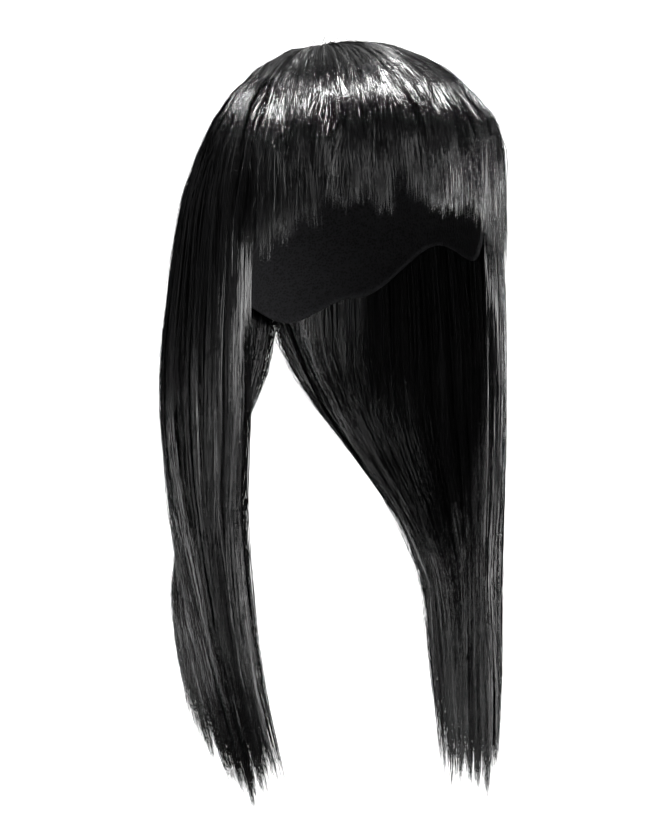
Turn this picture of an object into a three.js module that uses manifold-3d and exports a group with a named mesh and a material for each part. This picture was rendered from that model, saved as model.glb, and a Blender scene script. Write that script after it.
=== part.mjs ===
// Long straight wig with a choppy fringe, in the form that it has when it is worn.
// Millimetres. +Z is up, the face looks along -Y, and the wearer's left is +X.
// The origin is the inside top of the cap, where the crown of a head bears.
// A bearing is an angle round the head from the front, positive to the wearer's left.
// A drop is a distance below the origin. A layer is 0 against the cap and 1 on the outside of the hair.
import * as THREE from "three";
import { mergeVertices } from "three/addons/utils/BufferGeometryUtils.js";
import Module from "manifold-3d";

const wasm = await Module();
wasm.setup();

// The head that the wig fits, about 55 cm round.
const HEAD = { halfWidth: 76, halfLength: 96, dome: 100, squareness: 2.15 };

// The cap is a net wall whose rim dips in front of the ears and at the nape.
const CAP = { wall: 1.6, columns: 36, rings: 8, crowding: 1.7, napeTuck: 0.09 };
const CAP_RIM = [
  { bearing: 0, drop: 62 },
  { bearing: 48, drop: 76 },
  { bearing: 78, drop: 120 },
  { bearing: 106, drop: 110 },
  { bearing: 145, drop: 142 },
  { bearing: 180, drop: 158 },
];

// The hair's thickness over the cap. It is fuller low down, most of all to the left of the whorl.
const HAIR = { clearance: 1, top: 7, front: 9, side: 12, back: 17 };
const WHORL = { x: -13, y: 9, start: 0.06 };
const FULLNESS = { at: 0.8, rise: 4, all: 0.3, left: 0.4 };

// The hair stands out behind the ears as it comes down, then gathers into a lock beside each cheek.
const FALL_END = 440;
const FLARE = { bearing: 114, spread: 34, from: 20, to: 200, size: 0.2 };
const EDGE = { temple: 71, behindEar: 122, seam: 0.35 };
const GATHER = [
  { bearing: 71, from: 180, to: 320 },
  { bearing: 120, from: 195, to: 345 },
  { bearing: 191, from: 146, to: 325 },
];
const LOCK_PLAN = [
  { drop: 260, frontX: 84, frontY: -29, rearX: 84, rearY: 62, thickness: 18, bulge: 12 },
  { drop: 322, frontX: 80, frontY: -34, rearX: 84, rearY: 56, thickness: 18, bulge: 9 },
  { drop: 385, frontX: 79, frontY: -40, rearX: 83, rearY: 54, thickness: 17, bulge: 5 },
  { drop: 440, frontX: 75, frontY: -46, rearX: 80, rearY: 42, thickness: 13, bulge: 3 },
];
const EDGE_THINNING = 0.6;
const RIGHT_DRIFT = { from: 320, to: 440, front: 14.5, rear: 6 };

// Where each section is cut. The fringe is longer at the temples and has two thin places.
const FRINGE_CUT = [
  { bearing: -70, drop: 124 },
  { bearing: -58, drop: 112 },
  { bearing: -44, drop: 95 },
  { bearing: -34, drop: 78 },
  { bearing: -20, drop: 90 },
  { bearing: -8, drop: 70 },
  { bearing: 6, drop: 90 },
  { bearing: 28, drop: 92 },
  { bearing: 44, drop: 100 },
  { bearing: 70, drop: 124 },
];
const LONG_CUT = [
  { bearing: 70, left: 421, right: 414 },
  { bearing: 84, left: 424, right: 420 },
  { bearing: 110, left: 428, right: 428 },
  { bearing: 145, left: 430, right: 416 },
  { bearing: 180, left: 430, right: 402 },
];

// A lock is a flat tube that overlaps its neighbours and runs out to a point.
const LOCK = { sides: 6, step: 0.145, tipShare: 0.12, layer: 0.5, depth: 0.42 };
const UNEVEN = { width: 0.16, layer: 0.08, depth: 0.04 };
const VARIES = { width: 1, layer: 2, depth: 3, length: 4 };
const SEED = { fringe: 10, sideLeft: 20, sideRight: 30, backLeft: 40, backRight: 50 };
const FRINGE = { locks: 13, overlap: 1.3, taper: 24, ragged: 4.5, backing: 54 };
const SIDE = { locks: 7, overlap: 1.35, taper: 40, ragged: 7, backing: 350 };
const BACK = { locks: 6, overlap: 1.5, taper: 45, ragged: 8, backing: 330, pastMiddle: 3 };
const BACKING = { columns: 6, inner: 0.37, outer: 0.63, inset: 0.33 };

const HAIR_LOOK = { color: 0x1b1b1d, roughness: 0.34, metalness: 0 };
const CAP_LOOK = { color: 0x141416, roughness: 0.9, metalness: 0 };

const radians = THREE.MathUtils.degToRad;
const { lerp, clamp } = THREE.MathUtils;
const smooth = (part) => THREE.MathUtils.smoothstep(part, 0, 1);
const share = ({ from, to }, at) => (at - from) / (to - from);

// A repeatable number from -1 to 1 for each lock and each use of it.
const SPREAD = { index: 12.9898, use: 78.233, size: 43758.5453 };
function chance(index, use) {
  const mixed = Math.sin(index * SPREAD.index + use * SPREAD.use) * SPREAD.size;
  return 2 * (mixed - Math.floor(mixed)) - 1;
}

// Reads a column of a table, eased between its rows.
function read(table, key, at, column) {
  const next = table.findIndex((row) => row[key] >= at);
  if (next === 0) return table[0][column];
  if (next < 0) return table.at(-1)[column];
  const [low, high] = [table[next - 1], table[next]];
  return lerp(low[column], high[column], smooth((at - low[key]) / (high[key] - low[key])));
}

// The part of a dome's height lost at a part of its radius, and the part of the radius at a drop.
const domeDrop = (radius) => 1 - (1 - Math.min(radius, 1) ** HEAD.squareness) ** (1 / HEAD.squareness);
const domeRadius = (drop) => (1 - (1 - drop) ** HEAD.squareness) ** (1 / HEAD.squareness);

// The head's surface, grown outwards evenly.
function headPoint(bearing, drop, grown) {
  const height = HEAD.dome + grown;
  const lost = (drop + grown) / height;
  const below = Math.max(0, drop - HEAD.dome) / (CAP_RIM.at(-1).drop - HEAD.dome);
  const radius = lost < 1 ? domeRadius(Math.max(lost, 0)) : 1 - CAP.napeTuck * below ** 2;
  const angle = radians(bearing);
  return new THREE.Vector3(
    (HEAD.halfWidth + grown) * radius * Math.sin(angle),
    -(HEAD.halfLength + grown) * radius * Math.cos(angle),
    -drop,
  );
}

// A closed surface from rings of points: each end runs up to a pole, or else closes from side to side.
function closedRings(rings, poles = []) {
  const count = rings[0].length;
  const last = count * (rings.length - 1);
  const faces = [];
  const quad = (a, b, c, d) => faces.push(a, b, c, a, c, d);
  for (let i = 0; i < count; i++) {
    const next = (i + 1) % count;
    for (let row = 0; row < last; row += count) {
      quad(row + i, row + next, row + count + next, row + count + i);
    }
    if (poles.length) faces.push(last + count, next, i, last + count + 1, last + i, last + next);
  }
  for (let i = 0; !poles.length && i < count / 2 - 1; i++) {
    const [across, beyond] = [count - 1 - i, count - 2 - i];
    quad(i + 1, i, across, beyond);
    quad(last + i, last + i + 1, last + beyond, last + across);
  }
  return new THREE.BufferGeometry().setFromPoints([...rings.flat(), ...poles]).setIndex(faces);
}

function solidOf(geometry) {
  const merged = mergeVertices(geometry);
  return new wasm.Manifold(
    new wasm.Mesh({
      numProp: 3,
      vertProperties: merged.getAttribute("position").array,
      triVerts: new Uint32Array(merged.index.array),
    }),
  );
}

// The body inside rings of points, whichever way round they run.
function ringSolid(rings) {
  const solid = solidOf(closedRings(rings));
  return solid.volume() > 0 ? solid : solidOf(closedRings(rings.map((ring) => ring.toReversed())));
}

function geometryOf(solid) {
  const { vertProperties, triVerts } = solid.getMesh();
  const geometry = new THREE.BufferGeometry();
  geometry.setAttribute("position", new THREE.BufferAttribute(vertProperties, 3));
  geometry.setIndex(new THREE.BufferAttribute(triVerts, 1));
  geometry.computeVertexNormals();
  return geometry;
}

// The cap's rings run down the inside from the top to the rim and back up the outside.
function capGeometry() {
  const ring = (step, grown) =>
    Array.from({ length: CAP.columns }, (_, column) => {
      const bearing = (360 * column) / CAP.columns - 180;
      const rim = read(CAP_RIM, "bearing", Math.abs(bearing), "drop");
      return headPoint(bearing, lerp(-grown, rim, (step / CAP.rings) ** CAP.crowding), grown);
    });
  const steps = Array.from({ length: CAP.rings }, (_, step) => step + 1);
  const outside = steps.map((step) => ring(step, CAP.wall));
  const inside = steps.map((step) => ring(step, 0));
  const poles = [headPoint(0, 0, 0), headPoint(0, -CAP.wall, CAP.wall)];
  return closedRings([...inside, ...outside.reverse()], poles);
}

// A point on the hair over the head: reach runs from the whorl, 0, to the widest level, 1.
function domePoint(bearing, reach, layer) {
  const angle = radians(bearing);
  const low = ((reach / FULLNESS.at) ** FULLNESS.rise * (1 - reach)) / (1 - FULLNESS.at);
  const base = CAP.wall + HAIR.clearance;
  const depth = layer * (1 + low * (FULLNESS.all + FULLNESS.left * Math.sin(angle)));
  const behind = smooth((Math.abs(bearing) - EDGE.temple) / (180 - EDGE.temple));
  const halfX = HEAD.halfWidth + base + HAIR.side * depth;
  const halfY = HEAD.halfLength + base + lerp(HAIR.front, HAIR.back, behind) * depth;
  const top = base + HAIR.top * layer;
  const x = lerp(WHORL.x, halfX * Math.sin(angle), reach);
  const y = lerp(WHORL.y, -halfY * Math.cos(angle), reach);
  const radius = Math.hypot(x / halfX, y / halfY);
  return new THREE.Vector3(x, y, top - (HEAD.dome + top) * domeDrop(radius));
}

// A point in the gathered lock beside a cheek: along runs from its front edge, 0, to its rear edge, 1.
function lockPoint(side, along, drop, layer) {
  const column = (name) => read(LOCK_PLAN, "drop", drop, name);
  const across = 2 * along - 1;
  const thickness = column("thickness") * Math.sqrt(1 - EDGE_THINNING * across ** 4);
  const inwards = lerp(RIGHT_DRIFT.front, RIGHT_DRIFT.rear, along);
  const drift = side < 0 ? inwards * smooth(share(RIGHT_DRIFT, drop)) : 0;
  const middle = lerp(column("frontX"), column("rearX"), along) + column("bulge") * (1 - across ** 2) - drift;
  const y = lerp(column("frontY"), column("rearY"), along);
  return new THREE.Vector3(side * (middle + thickness * (layer - 0.5)), y, -drop);
}

// How much wider the hair stands at a bearing and a drop.
function flareAt(bearing, drop) {
  const near = Math.exp(-(((Math.abs(bearing) - FLARE.bearing) / FLARE.spread) ** 2));
  return 1 + FLARE.size * near * smooth(share(FLARE, drop));
}

// A point on the hair that falls below the widest level.
function fallPoint(bearing, drop, layer) {
  const turned = Math.abs(bearing);
  const along = clamp((turned - EDGE.temple) / (180 - EDGE.temple), 0, 1);
  const start = domePoint(bearing, 1, layer).multiplyScalar(flareAt(bearing, drop)).setZ(-drop);
  const span = { from: read(GATHER, "bearing", turned, "from"), to: read(GATHER, "bearing", turned, "to") };
  return start.lerp(lockPoint(Math.sign(bearing), along, drop, layer), smooth(share(span, drop)));
}

// The course of the hair at a bearing: 0 at the whorl, 1 at the widest level and 2 at the end of the fall.
function hairPoint(bearing, course, layer) {
  if (course > 1) return fallPoint(bearing, lerp(HEAD.dome, FALL_END, course - 1), layer);
  const reach = lerp(WHORL.start, 1, Math.sin((course * Math.PI) / 2));
  const { x, y, z } = domePoint(bearing, reach, layer);
  const wider = flareAt(bearing, -z);
  return new THREE.Vector3(x * wider, y * wider, z);
}

// How far along its course the hair comes down to a drop.
const SEARCH = { from: 0.3, halvings: 24 };
function courseAt(bearing, drop) {
  if (drop > HEAD.dome) return 1 + (drop - HEAD.dome) / (FALL_END - HEAD.dome);
  let [low, high] = [SEARCH.from, 1];
  for (let halving = 0; halving < SEARCH.halvings; halving++) {
    const half = (low + high) / 2;
    if (-hairPoint(bearing, half, LOCK.layer).z < drop) low = half;
    else high = half;
  }
  return low;
}

// The places along a course where rings are set: every step, then the end.
function stations(end) {
  const steps = Math.round(end / LOCK.step);
  return Array.from({ length: steps + 1 }, (_, step) => (step < steps ? step * LOCK.step : end));
}

// One lock: an oval in bearing and layer, carried along the course and drawn out to a point.
function lockSolid({ bearing, spread, layer, depth, tipDrop, taper }) {
  const made = stations(courseAt(bearing, tipDrop)).map((course) => {
    const left = (tipDrop + hairPoint(bearing, course, layer).z) / taper;
    const size = lerp(LOCK.tipShare, 1, smooth(left));
    return Array.from({ length: LOCK.sides }, (_, corner) => {
      const angle = (2 * Math.PI * (corner + 0.5)) / LOCK.sides;
      const width = (spread * size) / Math.cos(Math.PI / LOCK.sides);
      return hairPoint(bearing + width * Math.cos(angle), course, layer + depth * size * Math.sin(angle));
    });
  });
  return ringSolid(made);
}

// The backing that the locks are fused to: a sheet between two bearings, cut off short of their tips.
function backingSolid(from, to, drop) {
  const made = stations(courseAt((from + to) / 2, drop)).map((course) => {
    const edge = (layer) =>
      Array.from({ length: BACKING.columns + 1 }, (_, column) =>
        hairPoint(lerp(from, to, column / BACKING.columns), course, layer),
      );
    return [...edge(BACKING.inner), ...edge(BACKING.outer).reverse()];
  });
  return ringSolid(made);
}

// The locks of a section, side by side between two bearings, fused into one body.
function hairBody(from, to, cut, style, seed) {
  const pitch = (to - from) / style.locks;
  const locks = Array.from({ length: style.locks }, (_, index) => {
    const vary = (what) => chance(index, seed + VARIES[what]);
    const spread = (pitch / 2) * style.overlap * (1 + UNEVEN.width * vary("width"));
    const middle = from + pitch * (index + 0.5);
    const bearing = clamp(middle, from + spread, to - spread);
    return lockSolid({
      bearing,
      spread,
      layer: LOCK.layer + UNEVEN.layer * vary("layer"),
      depth: LOCK.depth + UNEVEN.depth * vary("depth"),
      tipDrop: cut(bearing) + style.ragged * vary("length"),
      taper: style.taper,
    });
  });
  const inset = pitch * BACKING.inset;
  const backing = backingSolid(from + inset, to - inset, style.backing);
  return locks.reduce((body, lock) => body.add(lock), backing);
}

const fringeCut = (bearing) => read(FRINGE_CUT, "bearing", bearing, "drop");
const longCut = (bearing) => read(LONG_CUT, "bearing", Math.abs(bearing), bearing > 0 ? "left" : "right");

function piece(name, geometry, look) {
  const mesh = new THREE.Mesh(geometry, new THREE.MeshStandardMaterial(look));
  mesh.name = name;
  return mesh;
}

const wig = new THREE.Group();
wig.add(piece("cap", capGeometry(), CAP_LOOK));

const { temple, behindEar, seam } = EDGE;
const fringe = hairBody(seam - temple, temple - seam, fringeCut, FRINGE, SEED.fringe);
wig.add(piece("fringe", geometryOf(fringe), HAIR_LOOK));
const sideLeft = hairBody(temple + seam, behindEar - seam, longCut, SIDE, SEED.sideLeft);
wig.add(piece("side_lock_left", geometryOf(sideLeft), HAIR_LOOK));
const sideRight = hairBody(seam - behindEar, -temple - seam, longCut, SIDE, SEED.sideRight);
wig.add(piece("side_lock_right", geometryOf(sideRight), HAIR_LOOK));

// The back hair's two halves are fused down to the nape, where they part.
const middle = 180 + BACK.pastMiddle;
const backLeft = hairBody(behindEar + seam, middle, longCut, BACK, SEED.backLeft);
const backRight = hairBody(-middle, -behindEar - seam, longCut, BACK, SEED.backRight);
wig.add(piece("back_hair", geometryOf(backLeft.add(backRight)), HAIR_LOOK));

export default wig;
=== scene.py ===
"""The looks of a long straight wig: its net cap and the hair combed over it, strand by strand.

Metres and degrees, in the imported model's frame: +Z is up, the face looks along -Y, and the origin is
the inside top of the cap. A bearing is an angle round the head from the front, positive to the wearer's
left. A drop is a distance below the origin. A layer is 0 against the cap and 1 on the outside of the
hair. A course runs along the hair: 0 at the whorl, 1 at the widest level and 2 at the end of the fall.
"""
import math
from typing import NamedTuple

import bpy
import numpy as np
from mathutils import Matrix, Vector


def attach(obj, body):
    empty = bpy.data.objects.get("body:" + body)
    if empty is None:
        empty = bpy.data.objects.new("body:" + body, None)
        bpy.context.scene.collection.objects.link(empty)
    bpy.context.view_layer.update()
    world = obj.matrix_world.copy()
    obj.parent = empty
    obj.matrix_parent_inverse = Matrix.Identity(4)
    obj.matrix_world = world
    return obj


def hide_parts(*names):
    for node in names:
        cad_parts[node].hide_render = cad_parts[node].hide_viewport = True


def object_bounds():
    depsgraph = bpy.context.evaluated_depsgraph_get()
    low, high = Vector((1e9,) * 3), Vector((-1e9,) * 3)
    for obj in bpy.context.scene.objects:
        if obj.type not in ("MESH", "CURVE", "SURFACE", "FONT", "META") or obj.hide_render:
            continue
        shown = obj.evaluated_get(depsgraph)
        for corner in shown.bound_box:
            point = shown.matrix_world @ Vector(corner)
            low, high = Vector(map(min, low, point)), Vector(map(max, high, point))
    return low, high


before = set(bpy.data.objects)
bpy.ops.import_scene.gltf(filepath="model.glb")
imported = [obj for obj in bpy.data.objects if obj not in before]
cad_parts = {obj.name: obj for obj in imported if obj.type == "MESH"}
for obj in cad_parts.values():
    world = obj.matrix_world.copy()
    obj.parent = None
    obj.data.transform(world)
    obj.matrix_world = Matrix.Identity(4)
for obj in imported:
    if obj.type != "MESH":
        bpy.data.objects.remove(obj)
cad_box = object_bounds()
rng = np.random.default_rng(7)

# The head, the cap and the hair's own sizes, as in the solids.
HEAD = {"half_width": 0.076, "half_length": 0.096, "dome": 0.1, "squareness": 2.15}
CAP = {"wall": 0.0016, "nape_tuck": 0.09}
CAP_RIM = {
    "bearing": (0, 48, 78, 106, 145, 180),
    "drop": (0.062, 0.076, 0.12, 0.11, 0.142, 0.158),
}
HAIR = {"clearance": 0.001, "top": 0.007, "front": 0.009, "side": 0.012, "back": 0.017}
WHORL = {"x": -0.013, "y": 0.009}
FULLNESS = {"at": 0.8, "rise": 4, "all": 0.3, "left": 0.4}
FALL_END = 0.44
FLARE = {"bearing": 114, "spread": 34, "from": 0.02, "to": 0.2, "size": 0.2}
TEMPLE, BEHIND_EAR, NAPE = 71, 122, 180
GATHER = {
    "bearing": (71, 120, 191),
    "from": (0.18, 0.195, 0.146),
    "to": (0.32, 0.345, 0.325),
}
LOCK_PLAN = {
    "drop": (0.26, 0.322, 0.385, 0.44),
    "front_x": (0.084, 0.08, 0.079, 0.075),
    "front_y": (-0.029, -0.034, -0.04, -0.046),
    "rear_x": (0.084, 0.084, 0.083, 0.08),
    "rear_y": (0.062, 0.056, 0.054, 0.042),
    "thickness": (0.018, 0.018, 0.017, 0.013),
    "bulge": (0.012, 0.009, 0.005, 0.003),
}
EDGE_THINNING = 0.6
RIGHT_DRIFT = {"from": 0.32, "to": 0.44, "front": 0.0145, "rear": 0.006}
FRINGE_CUT = {
    "bearing": (-70, -58, -44, -34, -20, -8, 6, 28, 44, 70),
    "drop": (0.124, 0.112, 0.095, 0.078, 0.09, 0.07, 0.09, 0.092, 0.1, 0.124),
}
LONG_CUT = {
    "bearing": (70, 84, 110, 145, 180),
    "left": (0.421, 0.424, 0.428, 0.43, 0.43),
    "right": (0.414, 0.42, 0.428, 0.416, 0.402),
}

# Strands root closer to the whorl than the solids reach, and close it.
ROOT_START = 0.012

# A lock's form is carried on a little past its edges, which are at 1, for the strands that stray there.
PAST_EDGE = 1.05
MIDDLE_LAYER = 0.5

# A drop over the head is looked for from this course on, by halving.
SEARCH = {"from": 0.3, "halvings": 20}

# The camera stands where the photograph was taken from.
PHOTO = {"azimuth": -24.5, "elevation": 2.0, "distance": 1.8, "view_height": 0.488, "sensor": 36}
AIM = {"right": -0.0113, "up": -0.209}


def smooth(part):
    part = np.clip(part, 0, 1)
    return part * part * (3 - 2 * part)


def mix(low, high, part):
    return low + (high - low) * part


def share(span, at):
    return (at - span["from"]) / (span["to"] - span["from"])


def begun(change, at):
    """How much is done, 0 to 1, of a change that starts somewhere and takes a while."""
    return smooth((at - change["from"]) / change["over"])


def last_part(done, start):
    """How far something is through its last part, 0 to 1, which starts at a share of the whole."""
    return smooth((done - start) / (1 - start))


def column(values):
    return values[:, None]


def read(table, key, at, name):
    """A named column of a table at places between its rows, eased from row to row."""
    keys, values = np.array(table[key], float), np.array(table[name], float)
    row = np.clip(np.searchsorted(keys, at) - 1, 0, len(keys) - 2)
    return mix(values[row], values[row + 1], smooth((at - keys[row]) / (keys[row + 1] - keys[row])))


def head_points(bearing, drop, grown):
    """Points on the head's surface, grown outwards."""
    angle = np.radians(bearing)
    lost = np.clip((drop + grown) / (HEAD["dome"] + grown), 0, 1)
    below = np.clip((drop - HEAD["dome"]) / (CAP_RIM["drop"][-1] - HEAD["dome"]), 0, None)
    radius = (1 - (1 - lost) ** HEAD["squareness"]) ** (1 / HEAD["squareness"])
    radius = radius - CAP["nape_tuck"] * below**2
    x = (HEAD["half_width"] + grown) * radius * np.sin(angle)
    y = -(HEAD["half_length"] + grown) * radius * np.cos(angle)
    return np.stack(np.broadcast_arrays(x, y, -drop), -1)


def dome_points(bearing, reach, layer):
    """Points on the hair over the head: reach runs from the whorl, 0, to the widest level, 1."""
    angle = np.radians(bearing)
    low = (reach / FULLNESS["at"]) ** FULLNESS["rise"] * (1 - reach) / (1 - FULLNESS["at"])
    base = CAP["wall"] + HAIR["clearance"]
    depth = layer * (1 + low * (FULLNESS["all"] + FULLNESS["left"] * np.sin(angle)))
    behind = smooth((np.abs(bearing) - TEMPLE) / (NAPE - TEMPLE))
    half_x = HEAD["half_width"] + base + HAIR["side"] * depth
    half_y = HEAD["half_length"] + base + mix(HAIR["front"], HAIR["back"], behind) * depth
    top = base + HAIR["top"] * layer
    x = mix(WHORL["x"], half_x * np.sin(angle), reach)
    y = mix(WHORL["y"], -half_y * np.cos(angle), reach)
    radius = np.minimum(np.hypot(x / half_x, y / half_y), 1)
    lost = 1 - (1 - radius ** HEAD["squareness"]) ** (1 / HEAD["squareness"])
    return np.stack((x, y, top - (HEAD["dome"] + top) * lost), -1)


def lock_points(side, along, drop, layer):
    """Points in the gathered lock beside a cheek: along is 0 at its front edge and 1 at its rear edge."""
    plan = {name: read(LOCK_PLAN, "drop", drop, name) for name in LOCK_PLAN if name != "drop"}
    across = np.clip(2 * along - 1, -PAST_EDGE, PAST_EDGE)
    thickness = plan["thickness"] * np.sqrt(1 - EDGE_THINNING * across**4)
    inwards = mix(RIGHT_DRIFT["front"], RIGHT_DRIFT["rear"], along)
    drift = np.where(side < 0, inwards * smooth(share(RIGHT_DRIFT, drop)), 0)
    middle = mix(plan["front_x"], plan["rear_x"], along) + plan["bulge"] * (1 - across**2) - drift
    x = side * (middle + thickness * (layer - MIDDLE_LAYER))
    return np.stack((x, mix(plan["front_y"], plan["rear_y"], along), -drop), -1)


def flared(points, bearing, drop):
    """Points moved out to where the hair stands wider at a bearing and a drop."""
    near = np.exp(-(((np.abs(bearing) - FLARE["bearing"]) / FLARE["spread"]) ** 2))
    wider = 1 + FLARE["size"] * near * smooth(share(FLARE, drop))
    return np.stack((points[..., 0] * wider, points[..., 1] * wider, points[..., 2]), -1)


def fall_points(bearing, drop, layer):
    """Points on the hair that falls below the widest level."""
    turned = np.abs(bearing)
    along = (turned - TEMPLE) / (NAPE - TEMPLE)
    start = flared(dome_points(bearing, np.ones_like(drop), layer), bearing, drop)
    start[..., 2] = -drop
    span = {name: read(GATHER, "bearing", turned, name) for name in ("from", "to")}
    end = lock_points(np.sign(bearing), along, drop, layer)
    return mix(start, end, smooth(share(span, drop))[..., None])


def hair_points(bearing, course, layer):
    """Points in the hair, wherever they are along its course."""
    bearing, course, layer = np.broadcast_arrays(bearing, course, layer)
    reach = mix(ROOT_START, 1, np.sin(np.clip(course, 0, 1) * math.pi / 2))
    drop = mix(HEAD["dome"], FALL_END, np.clip(course - 1, 0, None))
    dome = dome_points(bearing, reach, layer)
    dome = flared(dome, bearing, -dome[..., 2])
    return np.where((course > 1)[..., None], fall_points(bearing, drop, layer), dome)


def course_at(bearing, drop):
    """How far along its course the hair comes down to a drop."""
    low, high = np.full_like(drop, SEARCH["from"]), np.ones_like(drop)
    for _ in range(SEARCH["halvings"]):
        half = (low + high) / 2
        short = -hair_points(bearing, half, np.full_like(half, MIDDLE_LAYER))[..., 2] < drop
        low, high = np.where(short, half, low), np.where(short, high, half)
    below = 1 + (drop - HEAD["dome"]) / (FALL_END - HEAD["dome"])
    return np.where(drop > HEAD["dome"], below, low)


def fringe_cut(bearing):
    return read(FRINGE_CUT, "bearing", bearing, "drop")


def long_cut(bearing):
    turned = np.abs(bearing)
    left, right = (read(LONG_CUT, "bearing", turned, side) for side in ("left", "right"))
    return np.where(bearing > 0, left, right)


def toward(azimuth, elevation):
    """The way from the part to a place round it."""
    azimuth, elevation = math.radians(azimuth), math.radians(elevation)
    level = math.cos(elevation)
    return Vector((math.sin(azimuth) * level, -math.cos(azimuth) * level, math.sin(elevation)))


def looking(data, aim, back, distance):
    """A camera or light that looks at an aim from a distance."""
    made = bpy.data.objects.new(data.name, data)
    made.location = aim + back * distance
    made.rotation_mode = "QUATERNION"
    made.rotation_quaternion = (-back).to_track_quat("-Z", "Y")
    bpy.context.collection.objects.link(made)
    return made


def camera():
    data = bpy.data.cameras.new("camera")
    data.sensor_width = PHOTO["sensor"]
    data.lens = PHOTO["sensor"] * PHOTO["distance"] / PHOTO["view_height"]
    aim = toward(PHOTO["azimuth"] + 90, 0) * AIM["right"] + Vector((0, 0, AIM["up"]))
    back = toward(PHOTO["azimuth"], PHOTO["elevation"])
    bpy.context.scene.camera = looking(data, aim, back, PHOTO["distance"])


def mesh_object(name, vertices, faces, materials, uv=None, slots=None, looks=None, normals=None):
    """A mesh from arrays: faces all have the same number of corners, and looks are values at its points."""
    corners = faces.shape[1]
    mesh = bpy.data.meshes.new(name)
    mesh.vertices.add(len(vertices))
    mesh.vertices.foreach_set("co", vertices.astype(np.float32).ravel())
    mesh.loops.add(faces.size)
    mesh.loops.foreach_set("vertex_index", faces.astype(np.int32).ravel())
    mesh.polygons.add(len(faces))
    mesh.polygons.foreach_set("loop_start", np.arange(0, faces.size, corners, dtype=np.int32))
    for material in materials:
        mesh.materials.append(material)
    if slots is not None:
        mesh.polygons.foreach_set("material_index", slots.astype(np.int32))
    if uv is not None:
        at_corners = uv[faces.ravel()].astype(np.float32)
        mesh.uv_layers.new(name="OFBake").data.foreach_set("uv", at_corners.ravel())
    for look, values in (looks or {}).items():
        attribute = mesh.attributes.new(look, "FLOAT", "POINT")
        attribute.data.foreach_set("value", values.astype(np.float32))
    mesh.update()
    mesh.shade_smooth()
    if normals is not None:
        mesh.normals_split_custom_set_from_vertices(normals)
    made = bpy.data.objects.new(name, mesh)
    bpy.context.collection.objects.link(made)
    return made


def triangles(quads):
    return np.concatenate((quads[:, [0, 1, 2]], quads[:, [0, 2, 3]]))


# Strands are fine ribbons shaded as if round. Their widths, twists and tones vary, and a twist changes
# along its strand too.
STRAND = {"width": 0.0003, "spread": (0.7, 1.25), "tip": 0.25, "taper": 0.2, "roundness": 0.75}
TWIST = {"strand": 18, "tuft": 20, "along": 10}
TONE = {"middle": 0.5, "strand": 0.2, "clump": 0.12, "tuft": 0.22}

# Each section has a row: its node and spans of bearings, the strands and strays in each span, the points
# along one, and how wide its clumps and tufts are. Lengths say how far past the cut its strands end, by
# themselves and by chance, and how far short of it the body of hair below them ends. Then come how far
# strands sway, lean, turn and tuck in, where clumps draw together, and the shares of two kinds of strays.
LONG = {
    "cut": long_cut, "points": 14, "tuft": 0.8,
    "longer": 0.006, "ragged": 0.008, "point": 0.018, "thinned": 0.013, "wisp": 0.02, "short": 0.07,
    "wander": 0.4, "split": 0.87, "lean": 2.2, "turn": 180, "hanging": 0.4,
}
SECTIONS = [
    {
        "node": "fringe", "spans": [(-TEMPLE, TEMPLE)],
        "strands": 9600, "strays": 60, "clump": 2.4, "whorl": 0.05, "tuck": 0,
        "cut": fringe_cut, "points": 10, "tuft": 0.9,
        "longer": 0.004, "ragged": 0.0035, "point": 0.008, "thinned": 0.008, "wisp": 0.004, "short": 0.028,
        "wander": 0.8, "split": 0.5, "lean": 3.6, "turn": 0, "hanging": 0,
    },
    {
        "node": "side_lock_left", "spans": [(TEMPLE, BEHIND_EAR)],
        "strands": 6830, "strays": 100, "clump": 4.6, "whorl": 0.25, "tuck": 0.4, **LONG,
    },
    {
        "node": "side_lock_right", "spans": [(-BEHIND_EAR, -TEMPLE)],
        "strands": 6830, "strays": 100, "clump": 4.6, "whorl": 0.03, "tuck": 0.4, **LONG,
    },
    {
        "node": "back_hair", "spans": [(BEHIND_EAR, NAPE), (-NAPE, -BEHIND_EAR)],
        "strands": 3410, "strays": 90, "clump": 5.4, "whorl": 0.04, "tuck": 0, **LONG, "short": 0.05,
    },
]

# Some strands root round the whorl, and the others over the rest of the head. All lie lower at the root.
ROOTS = {"whorl_share": 0.35, "whorl_reach": 0.08, "from": 0.05, "spread": 0.6, "layer": 0.75, "rise": 0.25}

# A clump ends in two points, an inner and an outer one, at these layers. Tufts are less ragged than clumps,
# a few wisps run on past both, and the longest tips run this far past the cut.
CORES = (0.28, 0.74)
TUFT_RAGGED = 0.8
WISP_SHARE = 0.12
FURTHEST = 0.02

# Clumps and tufts have their middles between these shares of their width. Strands are drawn to the middle
# of their tuft, and at the tips to that of their clump. Tufts lean from a share of their course on.
MIDDLES = (0.1, 0.9)
TUFT_GATHER = {"share": (0.4, 0.9), "from": 0.45}
CLUMP_GATHER = (0.25, 0.75)
LEAN_FROM = 0.5

# They sway slowly and more finely, each on its own, and slowly with their clump.
SWAYS = [{"size": 0.5, "waves": 0.6}, {"size": 0.25, "waves": 1.7}]
CLUMP_SWAY = {"size": 0.6, "waves": 0.8}

# A few are loose: finer, lifted off the others, and free to sway and to stray past the edges of a span.
LOOSE = {"share": 0.02, "sway": 4, "width": 0.6, "lift": 0.25, "from": 0.3, "over": 0.5}
STRAYING = {"loose": 4, "other": 0.3, "from": 1.05, "over": 0.4}

# Over the head strands lie on the outside, and below it at any depth. Tips draw to their clump's points.
INNERMOST = 0.02
OUTSIDE = {"depth": 0.45, "crowding": 1.6}
SINK = {"from": 0.65, "over": 0.4, "to_core": 0.6}
LAYER_SPREAD = {"clump": 0.035, "tuft": 0.02}

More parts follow.
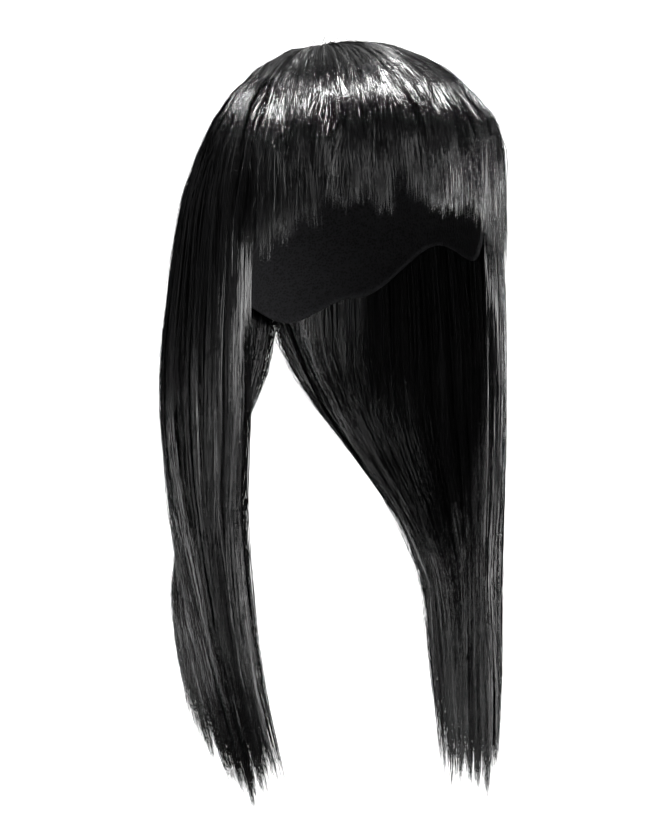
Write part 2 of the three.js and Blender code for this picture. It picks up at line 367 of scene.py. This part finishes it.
# How far clumps, tufts and strands rise and fall in layer, over the head and below it, and how often.
RIPPLE = {
    "clump": {"waves": 1.4, "head": 0.06, "fall": 0.05},
    "tuft": {"waves": 3.1, "head": 0.08, "fall": 0.025},
    "strand": {"waves": 4.3, "head": 0.045, "fall": 0.015},
}
RIPPLE_CHANGE = {"from": 0.7, "over": 0.4}

# The side hair dips in under the edge of the fringe, and comes out again at the widest level.
TUCK = {"width": 2.5, "in_by": 0.2, "from": 0.8, "over": 0.25}

# A gathered lock narrows towards its tips: its rear edge is drawn forward.
REAR_TAPER = {"from": 1.68, "over": 0.25, "width": 60, "turn": 15}

# Round the free edges of a gathered lock its strands face outwards.
FREE_EDGE = {"width": 9, "from": 1, "over": 0.25}

# Hair is combed sleek this far along its course, and is duller nearer the whorl.
SLEEK = {"from": 0.28, "over": 0.2, "least": 0.57}


class Group(NamedTuple):
    """Clumps, tufts or single strands: the one each strand is in, the middle of it, and their number."""
    owner: np.ndarray
    middle: np.ndarray
    number: int

    def normal(self, spread, about=0):
        return column(rng.normal(about, spread, self.number)[self.owner])

    def uniform(self, low, high):
        return column(rng.uniform(low, high, self.number)[self.owner])

    def wave(self, waves, course):
        """A sine along each strand, from a chance start that strands of one owner share."""
        return np.sin(2 * math.pi * (waves * course + self.uniform(0, 1)))


def single(middle):
    """A group of single strands."""
    return Group(slice(None), middle, len(middle))


def gathered(home, span, pitch):
    """The clumps or tufts of a span, each strand in the nearest one."""
    low, high = span
    number = max(1, round((high - low) / pitch))
    places = low + (np.arange(number) + rng.uniform(*MIDDLES, number)) * (high - low) / number
    owner = np.abs(home - places).argmin(1)
    return Group(owner, column(places[owner]), number)


def core_of(inner):
    """The layer of the point that a strand ends in."""
    return np.where(inner > MIDDLE_LAYER, CORES[1], CORES[0])


def drawn_in(bearing, course):
    """Bearings with those at the rear edge of a lock drawn forward, towards its tips."""
    turned = np.abs(bearing)
    edge = smooth((turned - NAPE + REAR_TAPER["width"]) / REAR_TAPER["width"])
    return np.sign(bearing) * (turned - REAR_TAPER["turn"] * begun(REAR_TAPER, course) * edge)


def tips(section, strand, clump, tuft, inner):
    """How far along its course each strand ends: the further from the middle of its point, the shorter."""
    core = core_of(inner)
    off = 2 * np.hypot((strand.middle - clump.middle) / section["clump"], inner - core)
    point = Group(2 * clump.owner + (inner > MIDDLE_LAYER)[:, 0], core, 2 * clump.number)
    past = section["longer"] + section["ragged"] * point.normal(1)
    tuft_past = section["ragged"] * tuft.normal(TUFT_RAGGED)
    past += tuft_past - column(rng.exponential(section["thinned"], strand.number))
    wisp = strand.uniform(0, 1) < WISP_SHARE
    past += np.where(wisp, strand.uniform(0, section["wisp"]), 0)
    past -= section["point"] * off
    past = np.where(past > 0, FURTHEST * np.tanh(past / FURTHEST), past)
    return course_at(strand.middle, section["cut"](clump.middle) + past)


def roots(strand):
    """How far along its course each strand starts."""
    whorl = strand.uniform(0, 1) < ROOTS["whorl_share"]
    near = strand.uniform(0, ROOTS["whorl_reach"])
    far = ROOTS["from"] + ROOTS["spread"] * np.sqrt(strand.uniform(0, 1))
    return np.where(whorl, near, far)


def bearings(section, span, strand, clump, tuft, loose, course, done):
    """Bearings along the strands, drawn together towards the tips and swaying."""
    to_tuft = tuft.uniform(*TUFT_GATHER["share"]) * last_part(done, TUFT_GATHER["from"])
    bearing = mix(strand.middle, tuft.middle, to_tuft)
    to_clump = clump.uniform(*CLUMP_GATHER) * last_part(done, section["split"])
    bearing = mix(bearing, clump.middle, to_clump)
    lean = tuft.normal(section["lean"]) + strand.normal(section["lean"] / 2)
    bearing += lean * last_part(done, LEAN_FROM)
    own = section["wander"] * np.where(loose, LOOSE["sway"], 1)
    for sway in SWAYS:
        bearing += sway["size"] * own * strand.normal(1) * strand.wave(sway["waves"], course)
    together = section["wander"] * clump.normal(CLUMP_SWAY["size"])
    bearing += together * clump.wave(CLUMP_SWAY["waves"], course)
    stray = np.where(loose, STRAYING["loose"], STRAYING["other"]) * begun(STRAYING, course)
    return np.clip(bearing, span[0] - stray, span[1] + stray)


def layers(section, strand, clump, tuft, inner, loose, course, done):
    """Layers along the strands, which sink from the outside and rise and fall."""
    outer = 1 - OUTSIDE["depth"] * strand.uniform(0, 1) ** OUTSIDE["crowding"]
    layer = mix(outer, inner, begun(SINK, course))
    to_core = SINK["to_core"] * last_part(done, section["split"]) * smooth(course - SINK["from"])
    layer = mix(layer, core_of(inner), to_core)
    layer += clump.normal(LAYER_SPREAD["clump"]) + tuft.normal(LAYER_SPREAD["tuft"])
    groups = {"clump": clump, "tuft": tuft, "strand": strand}
    for name, ripple in RIPPLE.items():
        size = mix(ripple["head"], ripple["fall"], begun(RIPPLE_CHANGE, course))
        layer += size * groups[name].wave(ripple["waves"], course)
    layer += np.where(loose, strand.uniform(0, LOOSE["lift"]), 0) * begun(LOOSE, course)
    return layer


def tucked(section, bearing, course):
    """How many layers the strands dip in under the edge of the fringe."""
    depth = section["tuck"] * smooth(course / TUCK["in_by"]) * (1 - begun(TUCK, course))
    return depth * np.exp(-(((np.abs(bearing) - TEMPLE) / TUCK["width"]) ** 2))


def widths(strand, loose, step):
    """Widths along the strands, which taper to their tips."""
    taper = smooth((step - 1 + STRAND["taper"]) / STRAND["taper"])
    own = strand.uniform(*STRAND["spread"]) * np.where(loose, LOOSE["width"], 1)
    return STRAND["width"] * mix(1, STRAND["tip"], taper) * own


def twists(section, strand, tuft, bearing, course, layer):
    """Twists along the strands, turned to face outwards round the free edges of a lock."""
    twist = strand.normal(TWIST["strand"]) + tuft.normal(TWIST["tuft"])
    twist = twist + strand.normal(TWIST["along"]) * course
    front = 1 - smooth((np.abs(bearing) - TEMPLE) / FREE_EDGE["width"])
    rear = 1 - smooth((NAPE - np.abs(bearing)) / FREE_EDGE["width"])
    free = section["turn"] * begun(FREE_EDGE, course)
    return twist + np.sign(bearing) * free * (1 - np.clip(layer, 0, 1)) * (rear - front)


def comb(section, span):
    """The strands of a span: bearing, course, layer, width and twist at each point, and each one's tone."""
    strand = single(column(rng.uniform(*span, section["strands"])))
    clump, tuft = (gathered(strand.middle, span, section[size]) for size in ("clump", "tuft"))
    inner = strand.uniform(INNERMOST, 1)
    loose = strand.uniform(0, 1) < LOOSE["share"]
    tip = tips(section, strand, clump, tuft, inner)
    root = roots(strand)
    step = np.linspace(0, 1, section["points"])
    course = mix(root, tip, step)
    done = course / tip
    bearing = bearings(section, span, strand, clump, tuft, loose, course, done)
    layer = layers(section, strand, clump, tuft, inner, loose, course, done)
    layer -= tucked(section, bearing, course)
    layer *= mix(ROOTS["layer"], 1, smooth((course - root) / ROOTS["rise"]))
    width = widths(strand, loose, step)
    twist = twists(section, strand, tuft, bearing, course, layer)
    tone = strand.normal(TONE["strand"], TONE["middle"]) + clump.normal(TONE["clump"])
    tone = tone + tuft.normal(TONE["tuft"])
    return drawn_in(bearing, course), course, layer, width, twist, np.clip(tone, 0, 1)


# Stray hairs lie across the others, arch off them at the whorl, or hang beside the edges of the locks.
STRAY = {"width": 0.00013, "from": (0.2, 0.9), "length": (0.05, 0.22), "across": 4, "lift": 0.15}
WHORL_STRAY = {"width": 0.0003, "from": (0, 0.05), "length": (0.06, 0.16), "lift": (0.2, 0.8)}
HANGING = {"width": 0.0002, "from": (0.5, 0.75), "length": (0.25, 0.5), "outwards": (2, 10), "bend": 1.5}
STRAY_LOOK = {"tone": 0.2, "taper": 0.7, "twist": 60}


def strays(section, span):
    """A few loose hairs on the outside of a span, given as the strands are."""
    middle = np.full((section["strays"], 1), np.mean(span))
    stray = single(middle)
    step = np.linspace(0, 1, section["points"])
    kind = stray.uniform(0, 1)
    crown, hangs = kind < section["whorl"], kind > 1 - section["hanging"]
    last = course_at(middle, section["cut"](middle))

    start = np.where(crown, stray.uniform(*WHORL_STRAY["from"]), stray.uniform(*STRAY["from"]) * last)
    start = np.where(hangs, stray.uniform(*HANGING["from"]) * last, start)
    length = np.where(hangs, stray.uniform(*HANGING["length"]) * last, stray.uniform(*STRAY["length"]))
    length = np.where(crown, stray.uniform(*WHORL_STRAY["length"]), length)
    course = start + np.minimum(length, last - start) * step

    lying = stray.uniform(*span) + stray.normal(STRAY["across"]) * (step + step**2) / 2
    edge = column(rng.choice(span, section["strays"]))
    outwards = np.sign(edge - middle) * stray.uniform(*HANGING["outwards"])
    bearing = np.where(hangs, edge + outwards * step ** HANGING["bend"], np.clip(lying, *span))

    lift = np.where(crown, stray.uniform(*WHORL_STRAY["lift"]), stray.uniform(0, STRAY["lift"]))
    layer = np.where(hangs, stray.uniform(0, 1), 1 + lift * np.sin(math.pi * step))
    width = np.where(crown, WHORL_STRAY["width"], np.where(hangs, HANGING["width"], STRAY["width"]))
    width = width * (1 - STRAY_LOOK["taper"] * step)
    twist = stray.uniform(-STRAY_LOOK["twist"], STRAY_LOOK["twist"]) * step
    return bearing, course, layer, width, twist, np.full_like(middle, STRAY_LOOK["tone"])


# A ribbon faces the way from its own layer to one this much further out.
OUTWARD_STEP = 0.1

# Added to a length that divides, so that it is never zero.
TINY = 1e-12


def unit(vectors):
    return vectors / (np.linalg.norm(vectors, axis=-1, keepdims=True) + TINY)


def ribbons(bearing, course, layer, width, twist):
    """Ribbons along the strands, each twisted a little: vertices, faces and rounded normals."""
    path = hair_points(bearing, course, layer)
    outward = hair_points(bearing, course, layer + OUTWARD_STEP) - path
    along = np.gradient(path, axis=1)
    across = unit(np.cross(along, outward))
    outward = unit(np.cross(across, along))
    count, points = width.shape
    twist = np.radians(twist)[..., None]
    flat = np.cos(twist) * across + np.sin(twist) * outward
    face = np.cos(twist) * outward - np.sin(twist) * across
    sides = [path + half * width[..., None] * flat for half in (-0.5, 0.5)]
    normals = [unit(face + lean * STRAND["roundness"] * flat) for lean in (-1, 1)]
    ring = 2 * np.arange(points - 1)
    corners = ((ring, ring + 1, ring + 3), (ring, ring + 3, ring + 2))
    one = np.concatenate([np.stack(three, -1) for three in corners])
    faces = one + np.arange(count)[:, None, None] * points * 2
    return np.stack(sides, 2).reshape(-1, 3), faces.reshape(-1, 3), np.stack(normals, 2).reshape(-1, 3)


# The part of its square of the bake that a strand takes up, across and along.
BAKE_CELL = {"across": (0.2, 0.8), "along": (0.1, 0.9)}


def bake_cells(count, points):
    """A small square of the bake for each strand, and a spare one."""
    cells = math.ceil(math.sqrt(count + 1))
    cell = np.stack((np.arange(count) % cells, np.arange(count) // cells), -1)[:, None, None, :]
    u = np.broadcast_to(np.array(BAKE_CELL["across"]), (count, points, 2))
    v = np.broadcast_to(column(np.linspace(*BAKE_CELL["along"], points)), (count, points, 2))
    return ((np.stack((u, v), -1) + cell) / cells).reshape(-1, 2), (cells - 0.5) / cells


# The body of hair under the strands: its grid, how far it keeps from a span's edges and the whorl, where it
# starts to thin, and the layers of its inside and outside, at the root and at the end.
UNDERLAY = {
    "columns": 40, "rows": 36, "inset": 0.035, "start": 0.02, "thins_from": 0.6,
    "inside": (0.35, 0.47), "outside": (0.6, 0.5), "look": 0.2,
}


def underlay(section, span):
    """The closed body of hair under a span's strands, cut off short of their tips."""
    low, high = span
    columns, rows = UNDERLAY["columns"], UNDERLAY["rows"]
    inset = UNDERLAY["inset"] * (high - low)
    bearing = column(np.linspace(low + inset, high - inset, columns))
    end = course_at(bearing, section["cut"](bearing) - section["short"])
    step = np.linspace(UNDERLAY["start"], 1, rows)[None, :]
    thin = last_part(step, UNDERLAY["thins_from"])
    drawn = drawn_in(bearing, end * step)
    inside = hair_points(drawn, end * step, mix(*UNDERLAY["inside"], thin))
    outside = hair_points(drawn, end * step, mix(*UNDERLAY["outside"], thin))
    grid = np.arange(columns * rows).reshape(columns, rows)
    quad = np.stack((grid[:-1, :-1], grid[1:, :-1], grid[1:, 1:], grid[:-1, 1:]), -1).reshape(-1, 4)
    rim = np.concatenate((grid[0, :-1], grid[:-1, -1], grid[-1, :0:-1], grid[:0:-1, 0]))
    after, beyond = np.roll(rim, -1), columns * rows
    wall = np.stack((rim, after, after + beyond, rim + beyond), -1)
    vertices = np.concatenate((inside.reshape(-1, 3), outside.reshape(-1, 3)))
    return vertices, triangles(np.concatenate((quad, quad[:, ::-1] + beyond, wall)))


# Looks: colours from dark to pale and how they are spread, the strength and depth of a low relief, and how
# rough or glossy the surface is.
FIBRE = {"colours": ((0.0008, 0.0008, 0.0009), (0.0036, 0.0036, 0.0039)), "spread": (0, 1)}
FIBRE_GLOSS = {
    "Roughness": {"look": "sleek", "least": 0.4, "most": 0.12},
    "Specular IOR Level": {"look": "tone", "least": 0.35, "most": 1},
}
STREAKS = {
    "colours": ((0.002, 0.002, 0.0022), (0.006, 0.006, 0.0065)), "spread": (0, 1),
    "scale": (900, 900, 30), "strength": 0.5, "depth": 0.0004, "roughness": 0.6,
}
NET = {
    "colours": ((0.0015, 0.0015, 0.0017), (0.008, 0.008, 0.009)), "spread": (0.25, 0.5),
    "scale": 700, "strength": 0.8, "depth": 0.0005, "roughness": 0.9, "shine": 0.2,
}
PAPER = {"colour": (0.9, 0.9, 0.9, 1), "glow": (1, 1, 1, 1), "glow_strength": 0.6, "roughness": 0.9}


class Shader:
    """A material, its nodes and links, and the sockets of its surface."""

    def __init__(self, name):
        self.material = bpy.data.materials.new(name)
        self.material.use_nodes = True
        self.nodes = self.material.node_tree.nodes
        self.link = self.material.node_tree.links.new
        self.surface = self.nodes["Principled BSDF"].inputs

    def colour(self, value, look):
        """Colours the surface from dark to pale as a value rises."""
        ramp = self.nodes.new("ShaderNodeValToRGB")
        for stop, colour, position in zip(ramp.color_ramp.elements, look["colours"], look["spread"]):
            stop.color = (*colour, 1)
            stop.position = position
        self.link(value, ramp.inputs["Fac"])
        self.link(ramp.outputs["Color"], self.surface["Base Color"])

    def relief(self, height, look):
        """Gives the surface a low relief that follows a height."""
        bump = self.nodes.new("ShaderNodeBump")
        bump.inputs["Strength"].default_value = look["strength"]
        bump.inputs["Distance"].default_value = look["depth"]
        self.link(height, bump.inputs["Height"])
        self.link(bump.outputs["Normal"], self.surface["Normal"])


def hair_material():
    """Smooth near-black fibre: each strand has its own tone, and is sleeker away from the whorl."""
    fibre = Shader("hair_fibre")
    looks = {}
    for look in ("tone", "sleek"):
        looks[look] = fibre.nodes.new("ShaderNodeAttribute")
        looks[look].attribute_name = look
    fibre.colour(looks["tone"].outputs["Fac"], FIBRE)
    for socket, row in FIBRE_GLOSS.items():
        gloss = fibre.nodes.new("ShaderNodeMapRange")
        gloss.inputs["To Min"].default_value = row["least"]
        gloss.inputs["To Max"].default_value = row["most"]
        fibre.link(looks[row["look"]].outputs["Fac"], gloss.inputs["Value"])
        fibre.link(gloss.outputs["Result"], fibre.surface[socket])
    return fibre.material


def underlay_material():
    """The shaded hair below the surface: long streaks, drawn as colour and relief."""
    fibre = Shader("hair_underlay")
    place = fibre.nodes.new("ShaderNodeTexCoord")
    stretch = fibre.nodes.new("ShaderNodeMapping")
    stretch.inputs["Scale"].default_value = STREAKS["scale"]
    streaks = fibre.nodes.new("ShaderNodeTexNoise")
    streaks.inputs["Scale"].default_value = 1
    fibre.link(place.outputs["Object"], stretch.inputs["Vector"])
    fibre.link(stretch.outputs["Vector"], streaks.inputs["Vector"])
    fibre.colour(streaks.outputs["Fac"], STREAKS)
    fibre.relief(streaks.outputs["Fac"], STREAKS)
    fibre.surface["Roughness"].default_value = STREAKS["roughness"]
    return fibre.material


def cap_material():
    """Matt stretch net: a fine mesh of small round holes, drawn as colour and relief."""
    cloth = Shader("cap_net")
    place = cloth.nodes.new("ShaderNodeTexCoord")
    net = cloth.nodes.new("ShaderNodeTexVoronoi")
    net.inputs["Scale"].default_value = NET["scale"]
    cloth.link(place.outputs["Object"], net.inputs["Vector"])
    cloth.colour(net.outputs["Distance"], NET)
    cloth.relief(net.outputs["Distance"], NET)
    cloth.surface["Roughness"].default_value = NET["roughness"]
    cloth.surface["Specular IOR Level"].default_value = NET["shine"]
    return cloth.material


def backdrop_material():
    paper = Shader("backdrop")
    paper.surface["Base Color"].default_value = PAPER["colour"]
    paper.surface["Roughness"].default_value = PAPER["roughness"]
    paper.surface["Emission Color"].default_value = PAPER["glow"]
    paper.surface["Emission Strength"].default_value = PAPER["glow_strength"]
    return paper.material


def joined(parts):
    """The arrays of several meshes as those of one: vertices, faces, and others in step with either."""
    vertices, faces, *others = zip(*parts)
    before = np.cumsum([0] + [len(part) for part in vertices[:-1]])
    faces = [part + count for part, count in zip(faces, before)]
    return [np.concatenate(arrays) for arrays in (vertices, faces, *others)]


def hair(section, strand_look, under_look):
    """One section of hair: its strands and the body of hair below them."""
    parts = []
    for span in section["spans"]:
        both = zip(comb(section, span), strays(section, span))
        bearing, course, layer, width, twist, tone = (np.concatenate(pair) for pair in both)
        sleek = begun(SLEEK, course) * mix(SLEEK["least"], 1, tone)
        looks = np.repeat(tone, section["points"] * 2), np.repeat(sleek, 2)
        vertices, faces, normals = ribbons(bearing, course, layer, width, twist)
        parts.append((vertices, faces, normals, np.zeros(len(faces)), *looks))
    for span in section["spans"]:
        vertices, faces = underlay(section, span)
        look = np.full(len(vertices), UNDERLAY["look"])
        parts.append((vertices, faces, np.zeros_like(vertices), np.ones(len(faces)), look, look))
    vertices, faces, normals, slots, tone, sleek = joined(parts)
    count = len(section["spans"]) * (section["strands"] + section["strays"])
    uv, spare = bake_cells(count, section["points"])
    uv = np.concatenate((uv, np.full((len(vertices) - len(uv), 2), spare)))
    piece = mesh_object(
        section["node"] + "_strands", vertices, faces, (strand_look, under_look), uv, slots,
        {"tone": tone, "sleek": sleek}, normals,
    )
    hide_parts(section["node"])
    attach(piece, "root")


# The cap: a net wall with sewn rows on its inside and a bound rim.
CAP_MESH = {"columns": 160, "rows": 60, "crowding": 1.5}
WEFT = {"pitch": 0.009, "height": 0.0004, "narrowness": 8}
BINDING = {"width": 0.007, "height": 0.0005, "edge": 0.3}


def cap():
    """Rings down the inside of the cap and up its outside, closed at the top of each."""
    columns, rows = CAP_MESH["columns"], CAP_MESH["rows"]
    bearing = np.linspace(-180, 180, columns, endpoint=False)[None, :]
    rim = read(CAP_RIM, "bearing", np.abs(bearing), "drop")
    step = (np.arange(1, rows + 1)[:, None] / rows) ** CAP_MESH["crowding"]
    inner_drop = rim * step
    bound = smooth((inner_drop - rim + BINDING["width"]) / (BINDING["width"] * BINDING["edge"]))
    row = np.sin(math.pi * inner_drop / WEFT["pitch"]) ** WEFT["narrowness"] * (1 - bound)
    inner = head_points(bearing, inner_drop, -WEFT["height"] * row - BINDING["height"] * bound)
    outer = head_points(bearing, mix(-CAP["wall"], rim, step), CAP["wall"])
    rings = np.concatenate((inner, outer[::-1]))
    poles = np.array([[0, 0, 0], [0, 0, CAP["wall"]]])
    count = len(rings)
    grid = np.arange(count * columns).reshape(count, columns)
    turned = np.roll(grid, -1, axis=1)
    quads = np.stack((grid[:-1], turned[:-1], turned[1:], grid[1:]), -1).reshape(-1, 4)
    first = np.stack((np.full(columns, count * columns), turned[0], grid[0]), -1)
    last = np.stack((np.full(columns, count * columns + 1), grid[-1], turned[-1]), -1)
    faces = np.concatenate((triangles(quads), first, last))
    vertices = np.concatenate((rings.reshape(-1, 3), poles))
    piece = mesh_object("cap_net", vertices, faces, [cap_material()])
    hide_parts("cap")
    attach(piece, "root")


# Lights: azimuth from the photograph's own, elevation, distance, size across and up, and power.
LIGHTS = {
    "high_left": (-87, 54, 1.3, (0.14, 0.4), 44),
    "high_right": (130, 42, 1.3, (0.14, 0.4), 28),
    "overhead": (0, 86, 1.3, (0.5, 0.1), 9),
    "front_fill": (40, 24, 2.0, (0.7, 0.55), 15),
    "low_left": (-75, -13, 1.9, (0.9, 0.8), 12),
    "low_right": (50, 0, 1.9, (0.9, 0.6), 36),
    "rim_left": (-130, -16, 1.6, (0.3, 0.6), 4),
    "rim_right": (118, 0, 1.6, (0.3, 0.6), 24),
}
LIGHT_AIM = Vector((0, 0, -0.1))

# The floor and its curve up into the backdrop, and how bright the surround is for the part and the camera.
STUDIO = {"below": 0.12, "bend": 0.8, "steps": 13, "depth": 2.2, "height": 3.0, "reach": 4.0}
SURROUND = {"part": 0.08, "camera": 0.95}


def light(name, azimuth, elevation, distance, size, power):
    data = bpy.data.lights.new(name, "AREA")
    data.shape = "RECTANGLE"
    data.size, data.size_y = size
    data.energy = power
    back = toward(PHOTO["azimuth"] + azimuth, elevation)
    looking(data, LIGHT_AIM, back, distance).visible_camera = False


def backdrop():
    """A pale floor that curves up behind the part."""
    floor = cad_box[0].z - STUDIO["below"]
    bend, depth, reach = STUDIO["bend"], STUDIO["depth"], STUDIO["reach"]
    profile = [(-reach, floor)]
    for angle in np.radians(np.linspace(0, 90, STUDIO["steps"])):
        profile.append((depth + bend * math.sin(angle), floor + bend * (1 - math.cos(angle))))
    profile.append((depth + bend, floor + STUDIO["height"]))
    away = -toward(PHOTO["azimuth"], 0)
    right = toward(PHOTO["azimuth"] + 90, 0)
    vertices = [away * y + right * x + Vector((0, 0, z)) for x in (-reach, reach) for y, z in profile]
    count = len(profile)
    faces = [(i, i + 1, count + i + 1, count + i) for i in range(count - 1)]
    made = mesh_object("backdrop", np.array(vertices), np.array(faces), [backdrop_material()])
    made.visible_glossy = False


def surround():
    """Even light from all round, dim on the part and pale where the camera sees it."""
    world = bpy.data.worlds.new("surround")
    world.use_nodes = True
    nodes, links = world.node_tree.nodes, world.node_tree.links
    dim, pale = nodes["Background"], nodes.new("ShaderNodeBackground")
    for background, strength in ((dim, SURROUND["part"]), (pale, SURROUND["camera"])):
        background.inputs["Color"].default_value = (1, 1, 1, 1)
        background.inputs["Strength"].default_value = strength
    seen, either = nodes.new("ShaderNodeLightPath"), nodes.new("ShaderNodeMixShader")
    links.new(seen.outputs["Is Camera Ray"], either.inputs["Fac"])
    links.new(dim.outputs["Background"], either.inputs[1])
    links.new(pale.outputs["Background"], either.inputs[2])
    links.new(either.outputs["Shader"], nodes["World Output"].inputs["Surface"])
    bpy.context.scene.world = world


camera()
cap()
strand_look, under_look = hair_material(), underlay_material()
for section in SECTIONS:
    hair(section, strand_look, under_look)
backdrop()
for name, row in LIGHTS.items():
    light(name, *row)
surround()
bpy.context.scene.view_settings.view_transform = "Standard"
